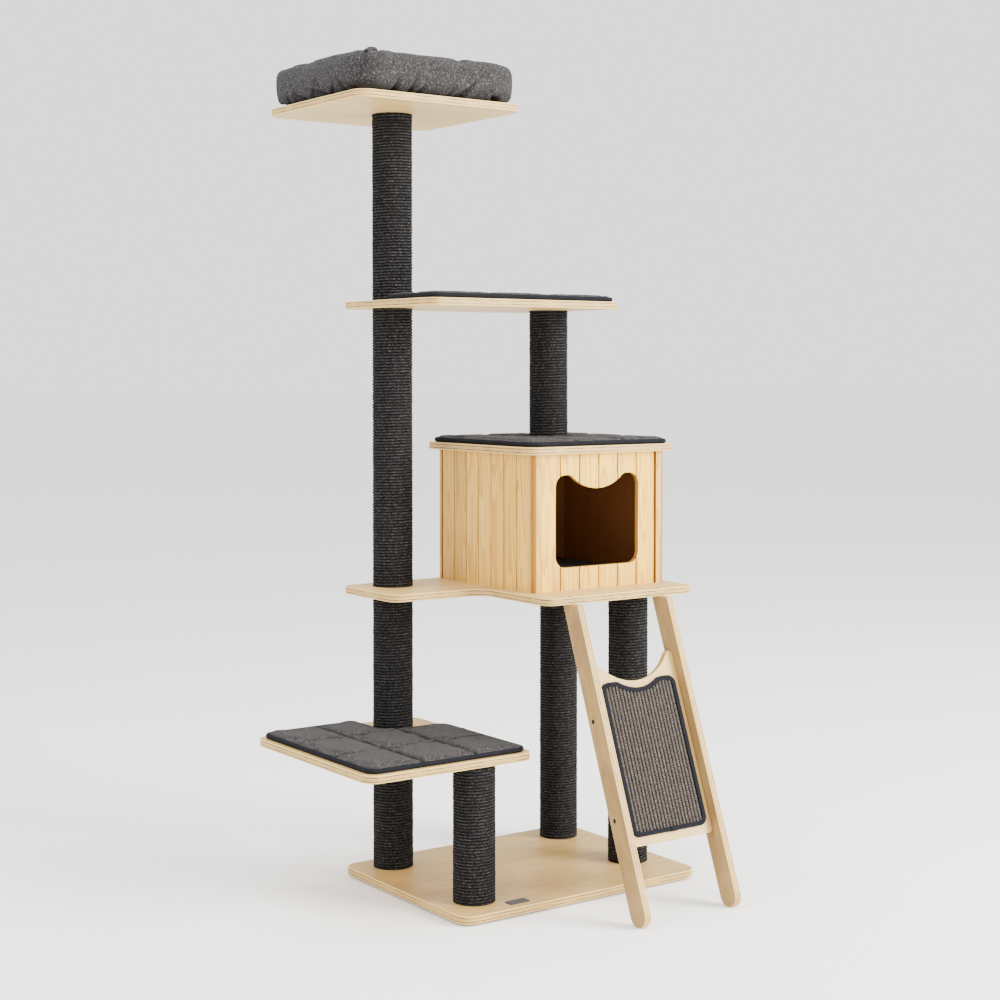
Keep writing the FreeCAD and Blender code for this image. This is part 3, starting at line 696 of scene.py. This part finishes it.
def line_distance(points, lines):
    """Distance in plan from each point to the nearest of the seam lines (axis, place)."""
    return np.min([np.abs(points[:, 0 if axis == "x" else 1] - at) for axis, at in lines], axis=0)


def outline_distance(points, outline):
    """Distance in plan from each point to the outline."""
    corners = np.array([[p.x, p.y] for p in outline])
    best = np.full(len(points), 1e9)
    for first, last in zip(corners, np.roll(corners, -1, axis=0)):
        edge = last - first
        size = max(float(edge @ edge), 1e-12)
        share = np.clip(((points[:, :2] - first) @ edge) / size, 0, 1)
        best = np.minimum(best, np.linalg.norm(points[:, :2] - first - share[:, None] * edge, axis=1))
    return best


def finish_soft(piece, name, material, body, slot, fill, *replaced):
    """Name and dress a stuffed piece, and put it on its body in place of its CAD nodes."""
    piece.name = name
    piece.data.name = name
    piece.data.materials.clear()
    piece.data.materials.append(material)
    piece.data.polygons.foreach_set("use_smooth", [True] * len(piece.data.polygons))
    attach(piece, body)
    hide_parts(*replaced)


def sweep(name, path, profile, material, body, height):
    """Carry a closed profile (outward, up) round a closed plan path."""
    vertices, faces = [], []
    count, size = len(path), len(profile)
    for index, point in enumerate(path):
        tangent = (path[(index + 1) % count] - path[index - 1]).normalized()
        out = Vector((tangent.y, -tangent.x))
        for away, up in profile:
            spot = point + out * away
            vertices.append((spot.x, spot.y, height + up))
    for index in range(count):
        after = (index + 1) % count
        for part in range(size):
            nearby = (part + 1) % size
            faces.append((index * size + part, after * size + part, after * size + nearby,
                          index * size + nearby))
    return new_piece(name, vertices, faces, material, body)


def oval(width, height, lift, points):
    return [(width / 2 * math.cos(2 * math.pi * k / points),
             lift + height / 2 * math.sin(2 * math.pi * k / points)) for k in range(points)]


def stitches(name, spots, thread, body):
    """Short thread stitches.  Each spot is (place, run) with the run along the seam."""
    vertices, faces = [], []
    sides, rings = 6, ((-1.0, 0.15), (-0.7, 0.8), (0.0, 1.0), (0.7, 0.8), (1.0, 0.15))
    for place, run in spots:
        across = Vector((-run.y, run.x, 0)).normalized()
        start = len(vertices)
        for along, girth in rings:
            for k in range(sides):
                turn = 2 * math.pi * k / sides
                vertices.append(place + run * along + across * (THREAD_WIDE * girth * math.cos(turn))
                                + Z * (THREAD_TALL * girth * math.sin(turn) - 0.0004 * abs(along)))
        faces += ring_faces(len(rings) - 1, sides, start)
    new_piece(name, vertices, faces, thread, body)


def quilted_pad(node, name, outline, body, cover, edge, thread, hole=()):
    """A thin pad, stuffed between two covers, stitched in three by three squares and bound with tape."""
    low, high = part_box(node)
    thick = high.z - low.z
    seams = [("x", low.x + (high.x - low.x) * k / 3) for k in (1, 2)]
    seams += [("y", low.y + (high.y - low.y) * k / 3) for k in (1, 2)]
    core = inset(outline, 0.003)
    inner = inset(hole, 0.003) if hole else ()
    pad = slab(name + "_core", core, low.z + 0.0006, high.z - 0.0022, hole=inner)
    remesh(pad, PAD_VOXEL)

    def measure(points):
        rim = outline_distance(points, core)
        if hole:
            rim = np.minimum(rim, outline_distance(points, inner))
        return line_distance(points, seams), rim

    points = coordinates(pad)
    top = points[:, 2] > low.z + thick * 0.45
    seam, rim = measure(points)
    points[:, 2] -= np.where(top, np.clip(1 - rim / 0.012, 0, 1) ** 2 * 0.0030, 0)
    set_coordinates(pad, points)
    puff(pad, (~top) | (seam < SEAM_HELD) | (rim < SEAM_HELD), 4.0, 0.0028)
    refine(pad)
    points = coordinates(pad)
    top = points[:, 2] > low.z + thick * 0.45
    seam, rim = measure(points)
    crown = np.clip(np.minimum(seam / 0.040, rim / 0.035), 0, 1)
    lift = 0.0013 * np.sin(crown * math.pi / 2)
    for index in np.nonzero(top)[0]:
        spot = Vector(points[index])
        pucker = math.exp(-seam[index] / 0.009) * noise.noise(spot * 120)
        lift[index] += 0.0005 * noise.noise(spot * 24) + 0.0004 * pucker
    fade = np.clip(rim / 0.006, 0, 1)
    points[:, 2] += np.where(top, lift * fade, 0)
    points[:, 2] = np.minimum(points[:, 2], high.z + 0.0015)
    set_coordinates(pad, points)
    # Pressed seams, with painted shade along them.
    press(pad, np.where(top, 0.0042 * bell(seam, 0.0028) * fade, 0),
          np.where(top, 1.3 * bell(seam, 0.0030), 0))
    finish_soft(pad, name, cover, body, "melange", 0.7, node)

    band = oval(BAND_WIDE, BAND_TALL, BAND_LIFT, 12)
    sweep(name + "_binding", inset(outline, BAND_INSET), band, edge, body, low.z)
    if hole:
        sweep(name + "_collar", inset(hole, BAND_INSET), band, edge, body, low.z)
    lay_seams(pad, name + "_stitches", seams, core, inner, thread, body)


def lay_seams(pad, name, seams, core, inner, thread, body):
    """Set a stitch every few millimetres along each seam, resting in the groove."""
    points = coordinates(pad)
    xs, ys = [p.x for p in core], [p.y for p in core]
    spots = []
    for axis, at in seams:
        lowest, highest = (min(ys), max(ys)) if axis == "x" else (min(xs), max(xs))
        for value in np.arange(lowest + 0.008, highest - 0.006, STITCH_PITCH):
            plan = np.array([at, value] if axis == "x" else [value, at])
            gap = np.linalg.norm(points[:, :2] - plan, axis=1)
            near = points[gap < 0.0032]
            edge_gap = outline_distance(plan[None, :], core)[0]
            if inner:
                edge_gap = min(edge_gap, outline_distance(plan[None, :], inner)[0])
            if len(near) < 3 or edge_gap < SEAM_HELD:
                continue
            run = (Y if axis == "x" else X) * STITCH_HALF
            spots.append((Vector((plan[0], plan[1], near[:, 2].max() - 0.0002)), run))
    stitches(name, spots, thread, body)


def make_pads(cover, edge, thread):
    """The pads of the low platform, the upper shelf and the roof, each cut to clear a post."""
    centre, radius = post_round("rope_tall_1")
    room = radius + POST_ROOM
    left, right, front = centre.x - room, centre.x + room, centre.y - room

    low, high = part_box("step_pad")
    outline = rounded([(low.x, low.y), (high.x, low.y), (high.x, front), (left, front), (left, high.y),
                       (low.x, high.y)], [CORNER] * 3 + [room] + [CORNER] * 2)
    quilted_pad("step_pad", "step_cushion_cover", outline, "step_cushion", cover, edge, thread)

    low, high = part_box("shelf_pad")
    outline = rounded([(low.x, low.y), (high.x, low.y), (high.x, high.y), (right, high.y), (right, front),
                       (low.x, front)], [CORNER] * 4 + [room, CORNER])
    quilted_pad("shelf_pad", "shelf_cushion_cover", outline, "shelf_cushion", cover, edge, thread)

    low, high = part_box("roof_pad")
    centre, radius = post_round("rope_upper")
    room = radius + POST_ROOM
    hole = [Vector((centre.x + room * math.cos(-2 * math.pi * k / 60),
                    centre.y + room * math.sin(-2 * math.pi * k / 60))) for k in range(60)]
    outline = rounded(rectangle(low, high), [CORNER] * 4)
    quilted_pad("roof_pad", "roof_pad_cover", outline, "tree", cover, edge, thread, hole)


def make_house_cushion(material):
    low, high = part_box("house_pad")
    outline = rounded(rectangle(low, high), [0.025] * 4)
    cushion = slab("house_core", inset(outline, 0.006), low.z + 0.001, high.z - 0.008)
    remesh(cushion, 0.006)
    points = coordinates(cushion)
    puff(cushion, points[:, 2] < low.z + 0.004, 5.0, 0.008)
    refine(cushion)
    finish_soft(cushion, "house_cushion_cover", material, "tree", "dark_felt", 0.8, "house_pad")


def along_path(points, path):
    """Each point's distance round the path, and its side: positive outside, negative within."""
    corners = np.array([[p.x, p.y] for p in path])
    following = np.roll(corners, -1, axis=0)
    lengths = np.linalg.norm(following - corners, axis=1)
    begun = np.concatenate([[0], np.cumsum(lengths)[:-1]])
    best = np.full(len(points), 1e9)
    place, side = np.zeros(len(points)), np.zeros(len(points))
    for first, last, length, start in zip(corners, following, lengths, begun):
        run = (last - first) / length
        offset = points[:, :2] - first
        share = np.clip(offset @ run, 0, length)
        gap = offset - share[:, None] * run
        away = np.linalg.norm(gap, axis=1)
        closer = away < best
        best = np.where(closer, away, best)
        place = np.where(closer, start + share, place)
        side = np.where(closer, offset @ np.array([run[1], -run[0]]), side)
    return place, side, float(lengths.sum())


def stuff_bolster(cover, path, low, high, wide):
    """The bolster before its folds: a square ring, uneven and plump, higher at three corners."""
    tall = high.z - low.z
    profile = []
    for k in range(28):
        angle = 2 * math.pi * k / 28
        c, s = math.cos(angle), math.sin(angle)
        reach = wide / 2 - (0.017 if c > 0 else 0.003)
        power = 0.72 if s < 0 else 0.62
        profile.append((reach * math.copysign(abs(c) ** power, c),
                        tall / 2 + (tall / 2 - 0.003) * math.copysign(abs(s) ** power, s)))
    shell = sweep("bolster_core", path, profile, cover, "bed", low.z)
    remesh(shell, BOLSTER_VOXEL)
    points = coordinates(shell)
    for index, point in enumerate(points):
        spot = Vector(point)
        upward = max(0.0, min(1.0, (point[2] - low.z) / tall * 1.6 - 0.3))
        points[index, 2] += upward * (0.0050 * noise.noise(spot * 22) + 0.0018 * noise.noise(spot * 47))
        push = 0.0040 * noise.noise(spot * 15 + Vector((3, 1, 7)))
        way = Vector((point[0] - (low.x + high.x) / 2, point[1] - (low.y + high.y) / 2)).normalized()
        points[index, :2] += push * np.array(way)
    for x, y in ((low.x, high.y), (high.x, low.y), (high.x, high.y)):
        plump = bell(np.hypot(points[:, 0] - x, points[:, 1] - y), 0.062)
        points[:, 2] += 0.17 * (points[:, 2] - low.z) * plump
        points[:, 0] += 0.003 * plump * (1 if x == high.x else -1)
        points[:, 1] += 0.003 * plump * (1 if y == high.y else -1)
    points[:, 2] = np.clip(points[:, 2], low.z + 0.0008, high.z + 0.002)
    set_coordinates(shell, points)
    puff(shell, points[:, 2] < low.z + 0.003, 4.5, 0.012, frames=20, slack=-0.10)
    refine(shell)
    points = coordinates(shell)
    over = points[:, 2] - (high.z - 0.004)
    points[:, 2] = np.where(over > 0, high.z - 0.004 + 0.006 * np.tanh(over / 0.006), points[:, 2])
    points[:, 2] = np.maximum(points[:, 2], low.z + 0.0004)
    set_coordinates(shell, points)
    return shell, points


def gather_seat(points, path, height, tall, depth, dark):
    """Add gathers that rise from the seat, the long folds among them, and dents along the crest, with painted
    shade in the gathers and folds.
    """
    place, side, total = along_path(points, path)

    def gap_from(middle):
        return np.abs((place - middle + total / 2) % total - total / 2)

    chance = random.Random(41)
    for number in range(GATHERS):
        at = (number + chance.uniform(0.15, 0.85)) / GATHERS * total
        slant = chance.uniform(-0.042, 0.042)
        rise = chance.uniform(0.25, 0.60)
        strong = chance.uniform(0.45, 1.0)
        outside = chance.random() < 0.72
        gap = gap_from(at + slant * height / rise)
        reach = np.clip(1 - height / rise, 0, 1) ** 0.6 * np.where((side > 0) == outside, 1.0, 0.0)
        depth += 0.0090 * strong * reach * bell(gap, 0.0046)
        depth -= 0.0016 * strong * reach * bell(gap - 0.009, 0.006)
        np.maximum(dark, strong * reach * bell(gap, 0.0034), out=dark)
    # Each long fold: place from the near corner, lean, height reached.
    for at, slant, rise in ((-0.064, -0.068, 0.27), (-0.241, -0.080, 0.40), (-0.002, -0.016, 0.34),
                            (0.191, 0.028, 0.24), (0.285, 0.012, 0.22), (-0.150, -0.035, 0.22)):
        steep = rise * tall / math.hypot(rise * tall, slant)
        gap = gap_from(at + slant * height / rise) * steep
        reach = np.clip(1.1 - height / rise, 0, 1) ** 0.4 * (side > 0)
        depth += 0.0075 * reach * bell(gap, 0.0042)
        depth -= 0.0022 * reach * bell(gap - 0.0095, 0.006)
        np.maximum(dark, reach * bell(gap, 0.0030), out=dark)
    for _ in range(DENTS):
        gap = gap_from(chance.uniform(0, total))
        reach = np.clip((height - 0.72) / 0.25, 0, 1)
        depth += 0.0022 * reach * bell(gap, 0.007)


def gather_knot(points, knot, height, depth, dark):
    """Add pleats that run into the tied corner, and folds that fall from it down the outside, with painted
    shade in the pleats and folds.
    """
    away = points[:, :2] - np.array(knot)
    gap = np.linalg.norm(away, axis=1)
    turn = np.arctan2(away[:, 1], away[:, 0])
    fold = np.cos(turn * 9 + 1.2 * np.sin(turn * 2))
    fade = bell(gap, 0.030) * (height > 0.55)
    depth += fade * (0.0022 * fold + 0.0035 * bell(gap, 0.010))
    np.maximum(dark, 0.7 * fade * np.clip(fold, 0, 1) ** 3, out=dark)
    outward_side = (np.abs(turn - KNOT_WAY) < 0.5) & (gap > 0.012)
    for spread, length in ((-0.10, 0.75), (0.02, 0.45), (0.13, 0.62)):
        beside = np.abs(turn - KNOT_WAY - spread) * gap
        reach = np.clip((height - (1 - length)) / length, 0, 1) ** 0.5 * outward_side
        depth += 0.0034 * reach * bell(beside, 0.0034)
        np.maximum(dark, 0.75 * reach * bell(beside, 0.0018), out=dark)
    return points[(gap < 0.008) & (height > 0.6), 2].max()


def make_bolster(cover, low, high, wide):
    """The bed's square bolster, its cover gathered at the seat and tied off at the near corner."""
    tall = high.z - low.z
    path = rounded(rectangle(low, high, -wide / 2), [0.024] * 4, 0.008)
    shell, points = stuff_bolster(cover, path, low, high, wide)
    height = (points[:, 2] - low.z) / tall
    depth, dark = np.zeros(len(points)), np.zeros(len(points))
    gather_seat(points, path, height, tall, depth, dark)
    knot = Vector((low.x + wide / 2 + 0.004, low.y + wide / 2 + 0.004))
    crest = gather_knot(points, knot, height, depth, dark)
    # Painted shade: the bolster grows darker towards the seat over its lower part.
    seat_shade = np.clip(1 - height / 0.30, 0, 1) * 0.9
    press(shell, depth, np.maximum(dark, seat_shade))
    finish_soft(shell, "bed_bolster_cover", cover, "bed", "melange", 0.75, "bed_bolster")
    tie_knot(cover, Vector((knot.x + 0.004, knot.y, crest - 0.006)))


def tie_knot(cover, place):
    """The gathered end of the cover, tied off in a crumpled tuft that leans to the right."""
    rows, around = 18, 48
    vertices = []
    for row in range(rows + 1):
        up = row / rows
        girth = 0.0132 * math.sqrt(max(0.0, 1 - (1.9 * max(0.0, up - 0.42)) ** 2)) + 0.0035 * (1 - up) ** 2
        girth *= 1 - 0.20 * math.exp(-((up - 0.2) / 0.09) ** 2)
        for k in range(around):
            turn = 2 * math.pi * k / around
            way = Vector((math.cos(turn), math.sin(turn), up * 1.2))
            pleat = 1 + 0.13 * math.cos(turn * 5 + up * 2.5) + 0.22 * noise.noise(way * 1.7)
            vertices.append((place.x + girth * pleat * way.x + 0.006 * up ** 2,
                             place.y + girth * pleat * way.y,
                             place.z + 0.0165 * up + 0.002 * noise.noise(way * 2.3 + Vector((5, 0, 0)))))
    faces = ring_faces(rows, around)
    faces.append(tuple(range(rows * around, (rows + 1) * around)))
    new_piece("bed_corner_knot", vertices, faces, cover, "bed")


def make_bed(cover):
    """The bolster, and the buttoned mattress tucked in within it."""
    low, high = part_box("bed_bolster")
    inner_low, inner_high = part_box("bed_mattress")
    make_bolster(cover, low, high, inner_low.x - low.x)

    low, high, tuck = inner_low, inner_high, 0.014
    outline = rounded(rectangle(low, high, tuck), [tuck] * 4)
    mattress = slab("mattress_core", outline, low.z + 0.0008, high.z - 0.01)
    remesh(mattress, 0.005)
    points = coordinates(mattress)
    centre = (low + high) / 2
    top = points[:, 2] > low.z + 0.010
    gap = np.hypot(points[:, 0] - centre.x, points[:, 1] - centre.y)
    points[:, 2] -= np.where(top, 0.010 * bell(gap, 0.014), 0)
    set_coordinates(mattress, points)
    puff(mattress, (points[:, 2] < low.z + 0.003) | (top & (gap < 0.006)), 5.0, 0.012)
    refine(mattress)
    points = coordinates(mattress)
    gap = np.hypot(points[:, 0] - centre.x, points[:, 1] - centre.y)
    turn = np.arctan2(points[:, 1] - centre.y, points[:, 0] - centre.x)
    top = points[:, 2] > low.z + 0.010
    fold = np.where(top, np.cos(turn * 8) * bell(gap, 0.035), 0)
    # The folds round the button, with painted shade in the dimple.
    press(mattress, 0.0014 * fold, np.where(top, bell(gap, 0.006), 0))
    finish_soft(mattress, "bed_mattress_cover", cover, "bed", "melange", 0.7, "bed_mattress")


# ---- Scratching mat ----
MAT_RIBS = 20
RIB_POINTS = 8           # points across one rib
RIB_HEIGHT = 0.0034
SISAL_LOOP = 0.0046      # one loop of the yarn along a rib
SISAL_SEAT = 0.0036      # foot of the ribs below the mat's face


def make_mat(yarn, edge):
    """Looped ribs that fill the mat's outline, and the tape binding round them."""
    low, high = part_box("scratching_mat")
    spots = np.array([[v.co.x, v.co.dot(climb), v.co.dot(outward)]
                      for v in nodes["scratching_mat"].data.vertices])
    ceiling = spots[:, 2].max()
    middle = (low.x + high.x) / 2
    half = (high.x - low.x) / 2
    bottom = spots[:, 1].min()
    upper = spots[spots[:, 2] > ceiling - 0.0004]
    pitch = 2 * half / MAT_RIBS
    columns = MAT_RIBS * RIB_POINTS

    outline = [(abs(p[0] - middle), p[1]) for p in upper]
    halfway = bottom + 0.15
    roof_x, roof_y = zip(*sorted({(round(x, 4), y) for x, y in outline if y > halfway}))
    foot_x, foot_y = zip(*sorted({(round(x, 4), y) for x, y in outline if y <= halfway}))
    vertices, uvs = [], []
    rows = int((upper[:, 1].max() - bottom) / 0.0011)
    for x in np.linspace(-half, half, columns + 1):
        start = float(np.interp(abs(x), foot_x, foot_y))
        end = float(np.interp(abs(x), roof_x, roof_y))
        for row in range(rows + 1):
            along = start + (end - start) * row / rows
            loop = (along - bottom) / SISAL_LOOP
            rib = (x + half) / pitch
            loop += 0.5 * (int(rib) % 2)
            within = abs((rib % 1.0) - 0.5) * 2
            crest = math.cos(within * math.pi / 2) ** 0.7
            beat = 0.5 + 0.5 * math.sin(2 * math.pi * loop)
            rise = RIB_HEIGHT * crest * (0.62 + 0.38 * beat)
            rise += 0.0005 * noise.noise(Vector((x * 700, along * 700, 0)))
            depth = ceiling - SISAL_SEAT + rise
            vertices.append(X * (middle + x) + climb * along + outward * depth)
            uvs.append((rib, loop))
    faces = grid_faces(columns, rows + 1)
    piece = new_piece("scratching_mat_weave", vertices, faces, yarn, "tree")
    lay_uv(piece, "weave", uvs)
    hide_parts("scratching_mat")
    dress("mat_binding", edge)
    lap_binding(edge, middle + half * 0.10)


def lap_binding(edge, x):
    """The binding's end, folded over its start at the foot of the mat."""
    verts = nodes["mat_binding"].data.vertices
    bottom = min(vertex.co.dot(climb) for vertex in verts)
    top = max(vertex.co.dot(outward) for vertex in verts)
    vertices = []
    sections = ((-0.0090, 0.0001), (-0.0086, 0.0007), (0.0060, 0.0007), (0.0068, 0.0001))
    band = ((-0.0007, -0.0040), (-0.0008, -0.0005), (0.0006, 0.0001), (0.0045, 0.0004), (0.0078, 0.0002),
            (0.0088, -0.0006))
    for along, lift in sections:
        for up, out in band:
            vertices.append(X * (x + along) + climb * (bottom + up) + outward * (top + out + lift))
    faces = grid_faces(len(sections) - 1, len(band))
    lap = new_piece("mat_binding_lap", vertices, faces, edge, "tree")
    thickness = lap.modifiers.new("thickness", "SOLIDIFY")
    thickness.thickness = 0.0006
    thickness.offset = -1


# ---- Build ----
dress_boards()
dress_ladder()
dress_house()
dress_hardware()

cord = rope_yarn("rope_yarn")
for node_name in sorted(nodes):
    if node_name.startswith("rope_"):
        wind_rope(node_name, cord)

grey = melange("melange_weave", (0.0092, 0.0083, 0.0083), (0.078, 0.0715, 0.0708))
# The bed's copy of the same melange, made darker as painted shade.
shaded_bed_grey = melange("bed_weave_shaded", (0.0058, 0.0053, 0.0053), (0.066, 0.0610, 0.0610))
felt = melange("dark_felt", (0.008, 0.007, 0.007), (0.03, 0.028, 0.028))
navy = tape("binding_tape", (0.0066, 0.0068, 0.0092), (0.0145, 0.0150, 0.0195))
black_thread = tape("seam_thread", (0.006, 0.006, 0.0075), (0.016, 0.016, 0.019))
make_pads(grey, navy, black_thread)
make_house_cushion(felt)
make_bed(shaded_bed_grey)
make_mat(sisal_yarn("sisal_yarn"), navy)

# ---- Floor, light and camera ----


def make_floor():
    """A plain pale floor, wide enough to have no edge in sight."""
    half = 60.0
    mesh = bpy.data.meshes.new("floor")
    mesh.from_pydata([(-half, -half, 0), (half, -half, 0), (half, half, 0), (-half, half, 0)], [],
                     [(0, 1, 2, 3)])
    s = Shader("floor_paper", roughness=1.0, Specular_IOR_Level=0.0)
    tone = s.noise(s.place(), 2.0, 2)
    mesh.materials.append(s.finish(s.mix(tone, (0.96, 0.96, 0.96), (0.98, 0.98, 0.98))))
    add_object("floor", mesh)


def soft_light(name, place, aim, size, power, color=(1, 1, 1)):
    """A wide lamp at a place, turned to its aim, and not itself in the picture."""
    lamp = bpy.data.lights.new(name, "AREA")
    lamp.shape = "RECTANGLE"
    lamp.size, lamp.size_y = size
    lamp.energy = power
    lamp.color = color
    holder = add_object(name, lamp)
    holder.location = place
    holder.rotation_euler = (Vector(aim) - Vector(place)).to_track_quat("-Z", "Y").to_euler()
    holder.visible_camera = False


def light_studio():
    world = bpy.data.worlds.new("studio")
    bpy.context.scene.world = world
    world.use_nodes = True
    background = world.node_tree.nodes["Background"]
    background.inputs["Color"].default_value = (1, 1, 1, 1)
    background.inputs["Strength"].default_value = 1.85
    middle = (cad_low + cad_high) / 2
    soft_light("key", (3.1, -4.2, 2.3), middle, (2.8, 2.8), 1000, (1.0, 0.985, 0.95))
    soft_light("left_fill", (-4.2, -0.4, 1.9), middle, (1.6, 2.4), 110)
    soft_light("overhead", (-0.3, -0.2, 2.9), middle, (2.0, 2.0), 55)


def add_camera():
    data = bpy.data.cameras.new("camera")
    data.sensor_width = 36
    data.lens = 64.62
    data.shift_y = -0.08
    data.clip_end = 300
    holder = add_object("camera", data)
    holder.location = (-2.1594, -2.9571, 1.0454)
    azimuth, drop = math.radians(35.50), math.radians(1.673)
    level = math.cos(drop)
    forward = Vector((math.sin(azimuth) * level, math.cos(azimuth) * level, -math.sin(drop)))
    holder.rotation_euler = forward.to_track_quat("-Z", "Y").to_euler()
    bpy.context.scene.camera = holder


make_floor()
light_studio()
add_camera()
